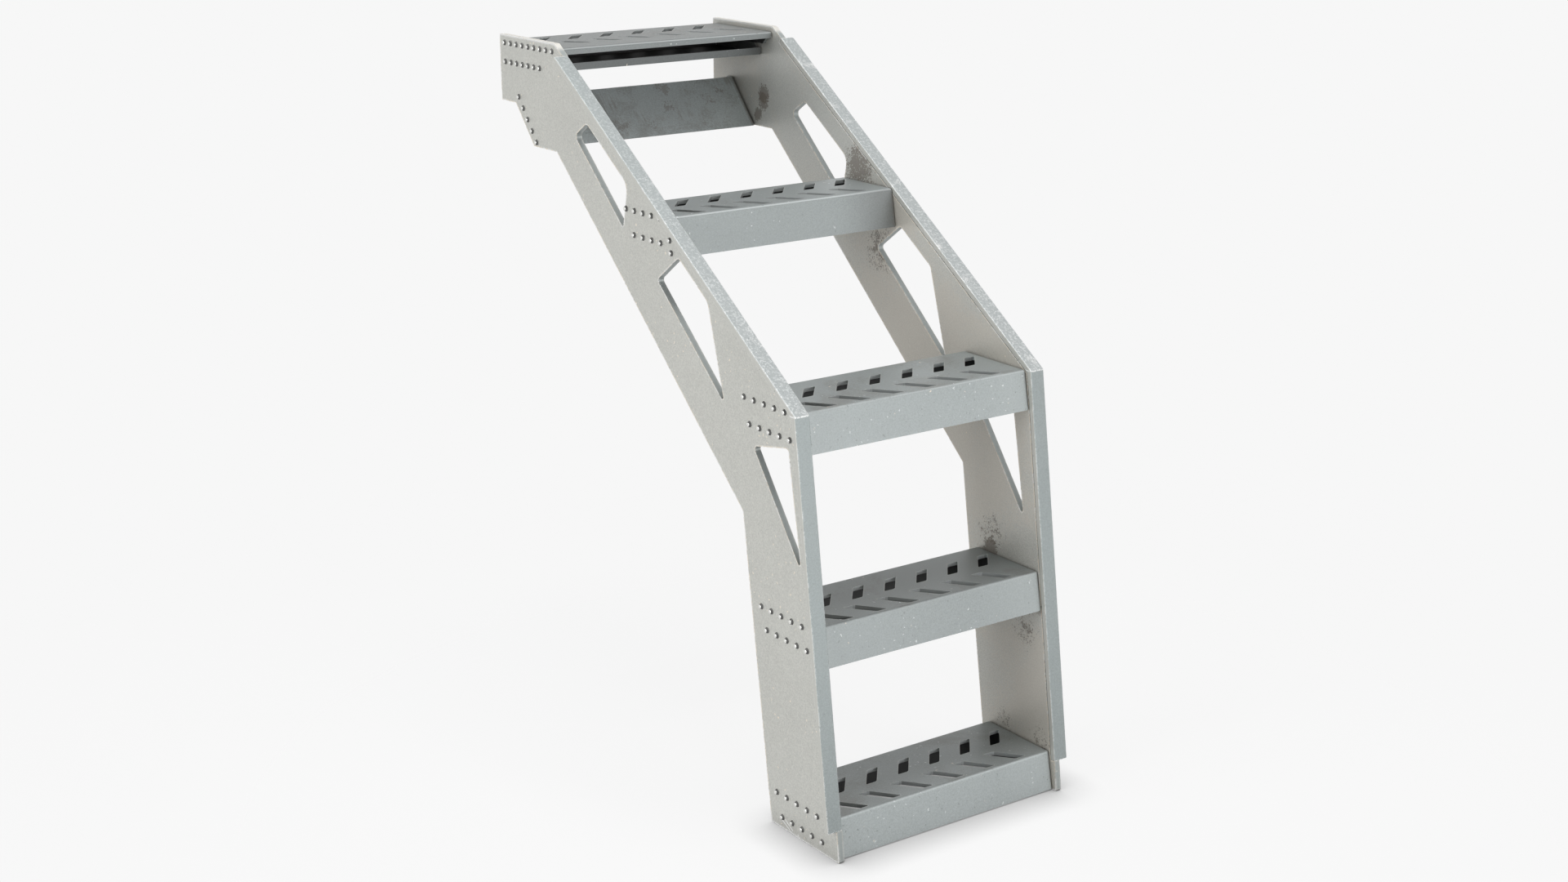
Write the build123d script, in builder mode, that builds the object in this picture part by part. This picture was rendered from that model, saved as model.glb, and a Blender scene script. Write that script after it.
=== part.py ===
import math
import os

from build123d import *

os.makedirs("parts", exist_ok=True)

# All sizes are in millimetres. X runs across the steps, Y runs back from the toe and Z is up.
# Depths are measured back from the toe of the stringers and heights are measured up from the floor.

# Overall layout
clear_width = 420.0
web_thickness = 10.0
foot_length = 177.5
knee = (90.5, 674.5)
head_front = (786.5, 1140.5)
head_length = 186.0
head_face_height = 111.0
shoulder_inset = 49.0
shoulder_run = 58.5
shoulder_rise = 66.0
haunch_length = 76.5
rear_knee = (249.5, 488.0)
outline_corner_radius = 3.0

# Caps along the front edges
cap_width = 26.0
cap_thickness = 9.0
cap_edge_radius = 1.5
cap_toe_height = 50.0
cap_head_gap = 18.0

# Lightening windows in the stringer webs: each corner is a way along one edge and a margin inside it
upper_window = [("front", 691.5, 44.0), ("rear", 22.5, 66.0), ("rear", 216.5, 66.0), ("front", 545.0, 44.0)]
upper_window_radii = [12.0, 8.0, 3.0, 22.0]
middle_window = [("front", 371.5, 39.0), ("rear", 334.5, 82.5), ("rear", 578.5, 86.5), ("front", 275.5, 39.0)]
middle_window_radii = [8.0, 6.0, 3.0, 14.0]
lower_window = [("foot", 627.0, 47.0), ("rear", 668.5, 101.5), ("foot", 443.0, 39.0)]
lower_window_radii = [6.0, 6.0, 3.0]

# Pressed steps
step_height = 62.0
step_plate = 6.2
step_depth = 148.0
short_step_depth = 132.0
step_lean_deg = 10.5
step_corner_radius = 5.5
step_rear_corner_radius = 4.0
step_fold_radius = 4.5
step_setback = 11.5
short_step_setback = 2.5
step_heights = {"2": 908.5, "3": knee[1], "4": 356.0, "5": 64.0}

# Slots in the treads, each row by how far its middle lies behind the front edge and to one side
slot_count = 6
slot_pitch = 62.2
slot_width = 20.5
slot_run = 33.0
slot_reach = 41.0
slot_corner_cut = 2.2
step_slot_rows = [(28.5, -15.5), (89.5, 16.3)]
short_step_slot_rows = [(30.0, -15.5), (91.5, 14.8)]
deck_slot_rows = [(72.0, 9.5), (131.0, -13.7)]

# Boxed head step
head_box_height = 42.0
deck_depth = 176.5
deck_drop = 8.5
deck_rear_inset = 11.5
deck_plate = 6.2
deck_lip_height = 11.0
deck_side_height = 22.0
deck_corner_radius = 6.0
tray_setback = 33.0
tray_lip_height = 12.0
tray_side_height = 19.0
tray_plate = 4.0

# Slanted kick panel, folded back at its ends
kick_plate = 4.0
kick_face_offset = 21.0
kick_end_depth = 14.0
kick_corner_radius = 8.0
kick_top_rise = 12.0

# Places that follow from the stringers' head
head_rear_depth = head_front[0] + head_length
head_lower_height = head_front[1] - head_face_height
shoulder_depth = head_rear_depth - shoulder_inset
haunch_rear_depth = shoulder_depth - shoulder_run
haunch_front_depth = haunch_rear_depth - haunch_length
haunch_height = head_lower_height - shoulder_rise
kick_top_height = head_lower_height + kick_top_rise
deck_height = head_front[1] - deck_drop
deck_rear_depth = head_rear_depth - deck_rear_inset
deck_front_depth = deck_rear_depth - deck_depth
tray_base_height = deck_height - head_box_height
tray_front_depth = deck_front_depth + tray_setback

# The row frame sits on the rear face of the head step, at its mid height
sill_height = (deck_height + tray_base_height) / 2
inner_half = clear_width / 2


def seat(depth, height):
    """Place a depth and height in the frame of the head step's rear face."""
    return (depth - deck_rear_depth, height - sill_height)


def seats(points):
    """Place a list of depth and height pairs."""
    return [seat(*point) for point in points]


def toward(start, end, height):
    """Find the point of the given height on the line from start to end."""
    share = (height - start[1]) / (end[1] - start[1])
    return (start[0] + share * (end[0] - start[0]), height)


def side_plane(side, offset, width):
    """Give the sketch plane from which a piece of this width is extruded along +X."""
    if side == "right":
        return Plane.YZ.offset(offset)
    return Plane.YZ.offset(-offset - width)


def finish(part, name):
    """Label a piece and write it to its own file."""
    part.label = name
    export_step(part, "parts/" + name + ".step")


def rounded_outline(corners, radii):
    """Draw a closed outline and round each of its corners."""
    with BuildSketch() as outline:
        with BuildLine():
            Polyline(*seats(corners), close=True)
        make_face()
        for corner, radius in zip(corners, radii):
            spot = Vector(*seat(*corner))
            fillet(outline.vertices().sort_by_distance(spot)[0], radius)
    return outline.sketch


def beside(edge, reach, margin):
    """Find the point a given way along an edge and a given margin to its right."""
    start, end = edge
    run = (Vector(*end) - Vector(*start)).normalized()
    point = Vector(*start) + run * reach + Vector(run.Y, -run.X) * margin
    return (point.X, point.Y)


# Front edge line, bare of its cap at the toe and at the head
foot_front = (0.0, 0.0)
haunch_front = (haunch_front_depth, haunch_height)
edges = {
    "foot": (foot_front, knee),
    "front": (knee, head_front),
    "rear": (haunch_front, rear_knee),
}
cap_toe = toward(*edges["foot"], cap_toe_height)
cap_head = toward(*edges["front"], head_front[1] - cap_head_gap)

stringer_outline = [
    foot_front,
    (foot_length, 0.0),
    rear_knee,
    haunch_front,
    (haunch_rear_depth, haunch_height),
    (shoulder_depth, head_lower_height),
    (head_rear_depth, head_lower_height),
    (head_rear_depth, head_front[1]),
    head_front,
    knee,
]
stringer_radii = [outline_corner_radius] * 9 + [0.5]

with BuildSketch() as cap_profile:
    with BuildLine():
        cap_edge = Polyline(*seats([cap_toe, knee, cap_head]))
        offset(cap_edge, amount=cap_thickness, side=Side.RIGHT, kind=Kind.INTERSECTION, closed=True)
    make_face()

web_outline = rounded_outline(stringer_outline, stringer_radii)
windows = []
for corners, radii in (
    (upper_window, upper_window_radii),
    (middle_window, middle_window_radii),
    (lower_window, lower_window_radii),
):
    spots = [beside(edges[edge], reach, margin) for edge, reach, margin in corners]
    windows.append(rounded_outline(spots, radii))


def make_web(side):
    """One stringer plate with its windows, rebated for the cap."""
    with BuildPart() as web:
        with BuildSketch(side_plane(side, inner_half, web_thickness)):
            add(web_outline)
            for window in windows:
                add(window, mode=Mode.SUBTRACT)
            add(cap_profile.sketch, mode=Mode.SUBTRACT)
        extrude(amount=web_thickness)
    finish(web.part, "web_" + side)


def make_cap(side):
    """One bent bar along the front edge, standing out past the outer face of the web."""
    with BuildPart() as cap:
        with BuildSketch(side_plane(side, inner_half, cap_width)):
            add(cap_profile.sketch)
        extrude(amount=cap_width)
        fillet(cap.edges().filter_by(GeomType.LINE).filter_by(Axis.X, reverse=True), cap_edge_radius)
    finish(cap.part, "cap_" + side)


def step_corners(front_edge, depth, inset):
    """Corners of a step's side view: top front, bottom front, bottom rear, top rear."""
    lean = math.radians(step_lean_deg)
    front, top = front_edge
    face = front + inset / math.cos(lean)
    inner_top = top - inset
    bottom = top - step_height
    return [
        (face - inset * math.tan(lean), inner_top),
        (face - step_height * math.tan(lean), bottom),
        (front + depth - inset, bottom),
        (front + depth - inset, inner_top),
    ]


def slot_rows(front_depth, rows):
    """Draw two rows of slanted slots that lean opposite ways, as a herringbone."""
    with BuildSketch() as slots:
        for (row_depth, aside), lean in zip(rows, (-1, 1)):
            with Locations((aside, front_depth + row_depth - deck_rear_depth)):
                with GridLocations(slot_pitch, 1, slot_count, 1):
                    Polygon(
                        (-slot_width / 2 - lean * slot_run / 2, -slot_reach / 2),
                        (slot_width / 2 - lean * slot_run / 2, -slot_reach / 2),
                        (slot_width / 2 + lean * slot_run / 2, slot_reach / 2),
                        (-slot_width / 2 + lean * slot_run / 2, slot_reach / 2),
                        align=None,
                    )
        chamfer(slots.vertices(), slot_corner_cut)
    return slots.sketch


def make_step(number, depth, setback, rows):
    """One step pressed as a pan: a slotted top with four walls folded down."""
    height = step_heights[number]
    edge = edges["foot"] if height <= knee[1] else edges["front"]
    front_edge = (toward(*edge, height)[0] + setback, height)
    with BuildPart() as step:
        with BuildSketch(Plane.YZ.offset(-inner_half)):
            with BuildLine():
                Polyline(*seats(step_corners(front_edge, depth, 0.0)), close=True)
            make_face()
        extrude(amount=clear_width)
        uprights = step.edges().filter_by(Axis.X, reverse=True).filter_by(Axis.Y, reverse=True)
        fillet(uprights.group_by(Axis.Y)[0], step_corner_radius)
        uprights = step.edges().filter_by(Axis.Z)
        fillet(uprights.group_by(Axis.Y)[-1], step_rear_corner_radius)
        fillet(step.faces().sort_by(Axis.Z)[-1].edges(), step_fold_radius)
        with BuildSketch(Plane.YZ.offset(step_plate - inner_half)):
            with BuildLine():
                Polyline(*seats(step_corners(front_edge, depth, step_plate)), close=True)
            make_face()
        extrude(amount=clear_width - 2 * step_plate, mode=Mode.SUBTRACT)
        with BuildSketch(Plane.XY.offset(front_edge[1] - sill_height)):
            add(slot_rows(front_edge[0], rows))
        extrude(amount=-step_plate, mode=Mode.SUBTRACT)
    finish(step.part, "step_" + number)


def make_deck():
    """Top plate with a short nosing, side walls and a deep rear flange."""
    front, rear = deck_front_depth, deck_rear_depth
    underside = deck_height - deck_plate
    with BuildPart() as deck:
        with BuildSketch(Plane.YZ.offset(-inner_half)):
            with BuildLine():
                Polyline(
                    *seats([
                        (front, deck_height),
                        (rear, deck_height),
                        (rear, tray_base_height),
                        (rear - deck_plate, tray_base_height),
                        (rear - deck_plate, deck_height - deck_side_height),
                        (front + deck_side_height, deck_height - deck_side_height),
                        (front + deck_lip_height, deck_height - deck_lip_height),
                        (front, deck_height - deck_lip_height),
                    ]),
                    close=True,
                )
            make_face()
        extrude(amount=clear_width)
        fillet(deck.edges().filter_by(Axis.Z).group_by(Axis.Y)[0], deck_corner_radius)
        fillet(deck.faces().sort_by(Axis.Z)[-1].edges(), step_fold_radius)
        with BuildSketch(Plane.YZ.offset(deck_plate - inner_half)):
            with BuildLine():
                Polyline(
                    *seats([
                        (front + deck_plate, underside),
                        (rear - deck_plate, underside),
                        (rear - deck_plate, tray_base_height),
                        (front + deck_plate, tray_base_height),
                    ]),
                    close=True,
                )
            make_face()
        extrude(amount=clear_width - 2 * deck_plate, mode=Mode.SUBTRACT)
        with BuildSketch(Plane.XY.offset(deck_height - sill_height)):
            add(slot_rows(front, deck_slot_rows))
        extrude(amount=-deck_plate, mode=Mode.SUBTRACT)
    finish(deck.part, "deck")


def make_tray():
    """Lower plate of the head step, turned up at its front and its sides."""
    front = tray_front_depth
    rear = deck_rear_depth - deck_plate
    floor = tray_base_height + tray_plate
    lip = tray_base_height + tray_lip_height
    rim = tray_base_height + tray_side_height
    with BuildPart() as tray:
        with BuildSketch(Plane.YZ.offset(-inner_half)):
            with BuildLine():
                Polyline(
                    *seats([
                        (front, tray_base_height),
                        (rear, tray_base_height),
                        (rear, rim),
                        (front + tray_side_height, rim),
                        (front + tray_lip_height, lip),
                        (front, lip),
                    ]),
                    close=True,
                )
            make_face()
        extrude(amount=clear_width)
        fillet(tray.edges().filter_by(Axis.Z).group_by(Axis.Y)[0], deck_corner_radius)
        with BuildSketch(Plane.YZ.offset(tray_plate - inner_half)):
            with BuildLine():
                Polyline(
                    *seats([
                        (front + tray_plate, floor),
                        (rear, floor),
                        (rear, rim),
                        (front + tray_plate, rim),
                    ]),
                    close=True,
                )
            make_face()
        extrude(amount=clear_width - 2 * tray_plate, mode=Mode.SUBTRACT)
    finish(tray.part, "tray")


# Directions along and out of the slanted edge between haunch and shoulder
kick_run = Vector(shoulder_depth - haunch_rear_depth, head_lower_height - haunch_height).normalized()
kick_out = Vector(-kick_run.Y, kick_run.X)


def kick_strip(outer_offset, thickness):
    """Side view of a strip parallel to the slanted edge, cut level at both ends."""
    corners = []
    for gap, height in (
        (outer_offset, haunch_height),
        (outer_offset - thickness, haunch_height),
        (outer_offset - thickness, kick_top_height),
        (outer_offset, kick_top_height),
    ):
        start = Vector(haunch_rear_depth, haunch_height) + kick_out * gap
        reach = (height - start.Y) / kick_run.Y
        point = start + kick_run * reach
        corners.append((point.X, point.Y))
    return seats(corners)


def make_kick_panel():
    """Slanted panel below the head step, with its ends folded back to the webs."""
    with BuildPart() as panel:
        with BuildSketch(Plane.YZ.offset(-inner_half)):
            with BuildLine():
                Polyline(*kick_strip(kick_face_offset, kick_end_depth), close=True)
            make_face()
        extrude(amount=clear_width)
        face = panel.faces().filter_by(lambda side: side.normal_at().Y < 0 < side.normal_at().Z)
        ends = face.edges().filter_by(Axis.X, reverse=True)
        fillet(ends, kick_corner_radius)
        with BuildSketch(Plane.YZ.offset(kick_plate - inner_half)):
            with BuildLine():
                Polyline(*kick_strip(kick_face_offset - kick_plate, kick_end_depth), close=True)
            make_face()
        extrude(amount=clear_width - 2 * kick_plate, mode=Mode.SUBTRACT)
    finish(panel.part, "kick_panel")


for number in ("3", "4", "5"):
    make_step(number, step_depth, step_setback, step_slot_rows)
make_step("2", short_step_depth, short_step_setback, short_step_slot_rows)
make_deck()
make_tray()
make_kick_panel()
for side in ("left", "right"):
    make_web(side)
    make_cap(side)
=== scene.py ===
import math

import bmesh
import bpy
from mathutils import Matrix, Vector


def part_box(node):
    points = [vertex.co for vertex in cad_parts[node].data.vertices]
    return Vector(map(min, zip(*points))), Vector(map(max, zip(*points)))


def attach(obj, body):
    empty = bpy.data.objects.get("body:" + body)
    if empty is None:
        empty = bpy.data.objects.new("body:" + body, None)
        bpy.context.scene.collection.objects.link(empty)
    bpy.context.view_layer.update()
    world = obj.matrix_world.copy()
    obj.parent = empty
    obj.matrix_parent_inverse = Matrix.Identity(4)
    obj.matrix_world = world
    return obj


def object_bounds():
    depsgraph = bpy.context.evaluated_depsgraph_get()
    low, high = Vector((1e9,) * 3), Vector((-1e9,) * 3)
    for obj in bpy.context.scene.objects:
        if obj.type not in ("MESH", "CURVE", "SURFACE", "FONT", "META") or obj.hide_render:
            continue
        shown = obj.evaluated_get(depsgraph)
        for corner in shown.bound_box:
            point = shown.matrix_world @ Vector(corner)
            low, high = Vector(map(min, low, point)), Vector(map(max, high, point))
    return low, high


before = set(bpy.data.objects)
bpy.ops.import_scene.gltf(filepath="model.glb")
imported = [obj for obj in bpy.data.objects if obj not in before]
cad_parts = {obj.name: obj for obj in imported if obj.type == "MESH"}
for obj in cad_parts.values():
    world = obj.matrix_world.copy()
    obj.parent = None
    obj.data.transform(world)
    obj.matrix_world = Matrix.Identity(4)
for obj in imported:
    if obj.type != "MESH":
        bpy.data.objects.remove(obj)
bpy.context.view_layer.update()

MM = 0.001
SIDES = {"left": -1, "right": 1}
STEPS = ("2", "3", "4", "5")

# Camera at the photograph's viewing angle
CAMERA_PLACE = (-2.02515, -3.40179, 0.45118)
CAMERA_TURN = (73.4236, 0.2023, -35.0281)
CAMERA_LENS = 51.644
CAMERA_SENSOR = 36
CAMERA_REACH = 50

# Studio: the background's brightness, the even light, and the soft boxes
BACKGROUND = 0.93
AMBIENT = (1.0, 0.99, 0.96)
AMBIENT_STRENGTH = 0.11
LAMP_SIZE = 2.6
LAMP_TARGET = (0.0, -0.45, -0.5)
LAMPS = (
    ("key_left", (-4.6, -0.9, 0.0), 140, (0.985, 1.0, 1.01)),
    ("fill_front", (0.9, -4.8, -0.4), 78, (1.0, 1.0, 1.0)),
    ("fill_right", (3.6, -2.6, 0.4), 14, (1.0, 1.0, 1.0)),
    ("fill_top", (0.0, -0.6, 5.0), 143, (1.0, 1.0, 1.0)),
)

# Floor: a disc just under the feet, whose outer part fades into the background
FLOOR_CENTRE = (0.0, -0.8)
FLOOR_RADIUS = 2.6
FLOOR_SIDES = 96
FLOOR_GAP = 0.0005
FLOOR_FADE_START = 0.2
FLOOR_FADE_END = 0.75
FLOOR_ALBEDO = 0.13
FLOOR_LIT_SHARE = 0.08

# The shadow where the feet meet the floor: how far it reaches, which way it leans and how deep it is
FLOOR_CONTACT_REACH = 0.075
FLOOR_CONTACT_LEAN = (0.0, 0.22, 1.0)
FLOOR_CONTACT_DEPTH = 0.85

# Mud on the inner faces: by which plate, how far from its rear and above its underside, reach and density
INNER_SPATTER = (
    ("step_2", -0.04, 0.084, 0.085, 0.95),
    ("step_2", -0.1, -0.045, 0.08, 0.75),
    ("step_3", -0.05, -0.03, 0.1, 0.3),
    ("step_4", -0.031, 0.067, 0.036, 1.25),
    ("step_4", -0.035, 0.095, 0.07, 0.62),
    ("step_4", -0.12, -0.044, 0.07, 0.6),
    ("step_4", -0.162, 0.0, 0.022, 1.1),
    ("step_5", -0.036, 0.074, 0.045, 0.6),
    ("step_5", -0.125, 0.071, 0.05, 0.6),
    ("kick_panel", -0.111, 0.057, 0.028, 1.5),
    ("kick_panel", -0.111, 0.045, 0.028, 1.5),
    ("kick_panel", -0.093, 0.02, 0.022, 1.3),
)

# Smears wiped over the kick panel: their place in X, Y and Z, reach and density
KICK_SMEARS = (
    (0.055, -0.06, -0.076, 0.036, 0.85),
    (0.05, -0.088, -0.106, 0.03, 0.75),
    (0.138, -0.083, -0.101, 0.034, 0.65),
    (0.166, -0.07, -0.087, 0.026, 0.7),
    (-0.053, -0.105, -0.126, 0.03, 0.7),
    (0.003, -0.108, -0.129, 0.026, 0.65),
)

# Bright scratches by the rear rivets of the left foot: each one's start and end, in Y and above the foot
FOOT_SCRATCHES = (
    ((-0.8132, 0.0130), (-0.8363, 0.0022)),
    ((-0.8202, 0.0170), (-0.8398, 0.0063)),
    ((-0.8538, 0.0051), (-0.8581, 0.0)),
)
SCRATCH_WIDTH = 0.0018

# How each plate looks: how pale its paint is, a tone that is painted shade; how strong the painted shade on
# its top, the painted highlight on its front fold, and the painted shade and dirt at its ends are; and how
# much its walls are made darker as painted shade and paler as painted light within reach of the right end
PLATE_LOOKS = {
    "step_2": {"tone": 0.84, "shade": 0.0, "painted_fold_highlight": 0.6, "dirt": 0.5, "painted_end_shade": 0.48, "painted_end_light": 0.0},
    "step_3": {"tone": 0.96, "shade": 0.05, "painted_fold_highlight": 0.3, "dirt": 0.1, "painted_end_shade": 0.0, "painted_end_light": 0.18},
    "step_4": {"tone": 0.86, "shade": 0.23, "painted_fold_highlight": 0.15, "dirt": 0.1, "painted_end_shade": 0.0, "painted_end_light": 0.2},
    "step_5": {"tone": 1.05, "shade": 0.2, "painted_fold_highlight": 0.2, "dirt": 0.12, "painted_end_shade": 0.0, "painted_end_light": 0.15},
    "deck": {"tone": 0.6, "shade": 0.28, "painted_fold_highlight": 0.45, "dirt": 0.25, "painted_end_shade": 0.12, "painted_end_light": 0.0},
    "tray": {"tone": 0.36, "shade": 0.0, "painted_fold_highlight": 0.3, "dirt": 0.25, "painted_end_shade": 0.1, "painted_end_light": 0.0},
}
RIGHT_END_REACH = 0.13

# How worn each cap is at the knee and at the head, how far above its foot that wear and the knee begin, and
# how far from the knee its bare line is full and ends
CAP_WEAR = {"left": (0.95, 0.4), "right": (1.0, 0.7)}
CAP_WEAR_RISE = 0.62
KNEE_RISE = 0.6245
KNEE_CREASE = (0.0006, 0.0016)

# Bands on the side plates, from where an effect begins to where it is full: below the head, above the foot
HEAD_SHADE_DROPS = (0.29, 0.15)
HEAD_RUB_DROPS = (0.012, 0.004)
FOOT_RUB_RISES = (0.03, 0.006)

# How far from the middle the brown of the kick panel's folded ends begins and is full
KICK_FOLD = (0.199, 0.203)

# How deep under a plate's surfaces its hollow begins, how far inside its walls the slots lie, and how little
# a slot's wall turns upwards
HOLLOW_SKIN = 0.00605
SLOT_MARGIN_SIDE = 0.01815
SLOT_MARGIN_FRONT = 0.0121
SLOT_WALL_TURN = 0.3

# Rivets, in millimetres. A row has its first rivet behind the plate's front, its pitch and its count, and on
# the head plates its drop below the deck's top or its rise above the tray's underside
RIVET_SIDES = 12
RIVET_CROWN_SEGMENTS = 2
RIVET_SMOOTH_DEGREES = 50
RIVET_HEAD_RADIUS = 5.0
RIVET_CROWN_RADIUS = 3.2
RIVET_CROWN_ROUNDING = 0.7
RIVET_HEAD_HEIGHT = 3.8
RIVET_TOP_TURN = 0.9
STEP_RIVET_DROPS = {"2": (5.9, 44.6), "3": (5.9, 45.3), "4": (7.7, 42.0), "5": (8.6, 45.5)}
STEP_UPPER_ROW = (36.5, 26.4, 5)
STEP_LOWER_ROW = (23.4, 26.0, 5)
SHORT_STEP_UPPER_ROW = (29.4, 25.0, 5)
SHORT_STEP_LOWER_ROW = (28.0, 26.2, 4)
SHORT_STEP_FRONT_PAIR = ((1.9, 36.4), (-1.9, 55.5))
STEP_TOE_OVERHANG = 11.5
DECK_ROW = (10.2, 20.1, 9, 4.9)
TRAY_ROW = (20.3, 19.5, 7, 5.4)
KICK_ROW_FOOT = (19.0, 7.4)
KICK_ROW_HEAD = (75.3, 77.1)
KICK_ROW_COUNT = 5


def deselect_all():
    """Leave nothing selected and nothing active."""
    bpy.ops.object.select_all(action="DESELECT")
    bpy.context.view_layer.objects.active = None


def add_node(tree, kind, **settings):
    """Add a shader node and set its options."""
    made = tree.nodes.new(kind)
    for name, value in settings.items():
        setattr(made, name, value)
    return made


def feed(tree, target, value):
    """Give a socket a constant, or link another socket to it."""
    if isinstance(value, bpy.types.NodeSocket):
        tree.links.new(value, target)
    else:
        target.default_value = value


def calculate(tree, operation, first, second=0.0, third=0.0, clamp=False):
    """One Math node."""
    made = add_node(tree, "ShaderNodeMath", operation=operation, use_clamp=clamp)
    for slot, value in zip(made.inputs, (first, second, third)):
        feed(tree, slot, value)
    return made.outputs[0]


def overlap(tree, first, second):
    """Mask of where two masks meet."""
    return calculate(tree, "MULTIPLY", first, second)


def blend_colour(tree, share, first, second, mode="MIX"):
    """One colour Mix node."""
    made = add_node(tree, "ShaderNodeMix", data_type="RGBA", blend_type=mode)
    feed(tree, made.inputs[0], share)
    feed(tree, made.inputs[6], first)
    feed(tree, made.inputs[7], second)
    return made.outputs[2]


def remap(tree, value, low, high, to_low=0.0, to_high=1.0):
    """One smooth Map Range node, with its result held between the two ends."""
    made = add_node(tree, "ShaderNodeMapRange", clamp=True)
    made.interpolation_type = "SMOOTHSTEP"
    for slot, given in zip(made.inputs, (value, low, high, to_low, to_high)):
        feed(tree, slot, given)
    return made.outputs[0]


def noise(tree, where, scale, detail=3.0, roughness=0.55, distortion=0.0):
    """One Noise Texture node."""
    made = add_node(tree, "ShaderNodeTexNoise", noise_dimensions="3D")
    feed(tree, made.inputs["Vector"], where)
    feed(tree, made.inputs["Scale"], scale)
    feed(tree, made.inputs["Detail"], detail)
    feed(tree, made.inputs["Roughness"], roughness)
    feed(tree, made.inputs["Distortion"], distortion)
    return made.outputs["Fac"]


def new_group(name, inputs, outputs):
    """Start a shader node group with named sockets."""
    group = bpy.data.node_groups.new(name, "ShaderNodeTree")
    for title, kind, value in inputs:
        socket = group.interface.new_socket(title, in_out="INPUT", socket_type=kind)
        socket.default_value = value
    for title, kind in outputs:
        group.interface.new_socket(title, in_out="OUTPUT", socket_type=kind)
    entry = group.nodes.new("NodeGroupInput")
    leave = group.nodes.new("NodeGroupOutput")
    return group, entry.outputs, leave.inputs


def use_group(tree, group, **values):
    """Place a node group and feed its inputs, whose names take underscores for spaces."""
    made = add_node(tree, "ShaderNodeGroup", node_tree=group)
    for title, value in values.items():
        feed(tree, made.inputs[title.replace("_", " ")], value)
    return made.outputs


def object_place(tree):
    """Place on the piece, in metres."""
    return add_node(tree, "ShaderNodeTexCoord").outputs["Object"]


FLOAT = "NodeSocketFloat"
VECTOR = "NodeSocketVector"


def build_edge_wear():
    """Mask of worn edges: where the surface turns sharply, broken up by noise."""
    group, given, result = new_group(
        "edge_wear",
        [("Width", FLOAT, 0.0012), ("Amount", FLOAT, 0.5), ("Patch Scale", FLOAT, 45.0)],
        [("Mask", FLOAT)],
    )
    where = object_place(group)
    rounded = add_node(group, "ShaderNodeBevel", samples=6)
    feed(group, rounded.inputs["Radius"], given["Width"])
    surface = add_node(group, "ShaderNodeNewGeometry")
    likeness = add_node(group, "ShaderNodeVectorMath", operation="DOT_PRODUCT")
    feed(group, likeness.inputs[0], rounded.outputs[0])
    feed(group, likeness.inputs[1], surface.outputs["Normal"])
    turn = calculate(group, "SUBTRACT", 1.0, likeness.outputs["Value"], clamp=True)
    edge = remap(group, turn, 0.008, 0.036)
    patches = noise(group, where, given["Patch Scale"], detail=4.0, roughness=0.7)
    chips = noise(group, where, calculate(group, "MULTIPLY", given["Patch Scale"], 7.0), detail=2.0)
    ragged = calculate(group, "MULTIPLY_ADD", chips, 0.4, calculate(group, "MULTIPLY", patches, 0.6))
    limit = calculate(group, "MULTIPLY_ADD", given["Amount"], -0.3, 0.68)
    worn = remap(group, ragged, limit, calculate(group, "ADD", limit, 0.06))
    feed(group, result["Mask"], overlap(group, edge, worn))
    return group


def build_paint_grain():
    """Fine grain and slow clouds of the satin finish: a tone near 1 and a height."""
    group, given, result = new_group(
        "paint_grain",
        [
            ("Scale", FLOAT, 420.0),
            ("Cloud Scale", FLOAT, 7.0),
            ("Grain", FLOAT, 0.12),
            ("Clouds", FLOAT, 0.12),
        ],
        [("Tone", FLOAT), ("Height", FLOAT)],
    )
    where = object_place(group)
    fine = noise(group, where, given["Scale"], detail=3.0, roughness=0.7)
    cloud = noise(group, where, given["Cloud Scale"], detail=5.0, roughness=0.6)
    grain = calculate(group, "MULTIPLY", calculate(group, "SUBTRACT", fine, 0.5), given["Grain"])
    clouds = calculate(group, "MULTIPLY", calculate(group, "SUBTRACT", cloud, 0.5), given["Clouds"])
    tone = calculate(group, "ADD", calculate(group, "ADD", grain, clouds), 1.0)
    feed(group, result["Tone"], tone)
    feed(group, result["Height"], fine)
    return group


def build_flecks():
    """Sparse small ragged marks of chipped paint, gathered in patches."""
    group, given, result = new_group(
        "flecks",
        [
            ("Scale", FLOAT, 70.0),
            ("Size", FLOAT, 0.12),
            ("Amount", FLOAT, 0.3),
            ("Gathering", FLOAT, 0.5),
        ],
        [("Mask", FLOAT)],
    )
    where = object_place(group)
    wander = add_node(group, "ShaderNodeTexNoise", noise_dimensions="3D")
    feed(group, wander.inputs["Vector"], where)
    feed(group, wander.inputs["Scale"], 260.0)
    feed(group, wander.inputs["Detail"], 2.0)
    centred = add_node(group, "ShaderNodeVectorMath", operation="SUBTRACT")
    feed(group, centred.inputs[0], wander.outputs["Color"])
    feed(group, centred.inputs[1], (0.5, 0.5, 0.5))
    shifted = add_node(group, "ShaderNodeVectorMath", operation="MULTIPLY_ADD")
    feed(group, shifted.inputs[0], centred.outputs[0])
    feed(group, shifted.inputs[1], (0.007, 0.007, 0.007))
    feed(group, shifted.inputs[2], where)
    cells = add_node(group, "ShaderNodeTexVoronoi", feature="F1", voronoi_dimensions="3D")
    feed(group, cells.inputs["Vector"], shifted.outputs[0])
    feed(group, cells.inputs["Scale"], given["Scale"])
    core = calculate(group, "MULTIPLY", given["Size"], 0.75)
    spot = remap(group, cells.outputs["Distance"], core, given["Size"], 1.0, 0.0)
    parts = add_node(group, "ShaderNodeSeparateColor")
    feed(group, parts.inputs[0], cells.outputs["Color"])
    chosen = calculate(group, "LESS_THAN", parts.outputs[0], given["Amount"])
    patch = noise(group, where, 9.0, detail=3.0)
    gathered = remap(group, patch, given["Gathering"], calculate(group, "ADD", given["Gathering"], 0.08))
    feed(group, result["Mask"], overlap(group, overlap(group, spot, chosen), gathered))
    return group


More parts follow.
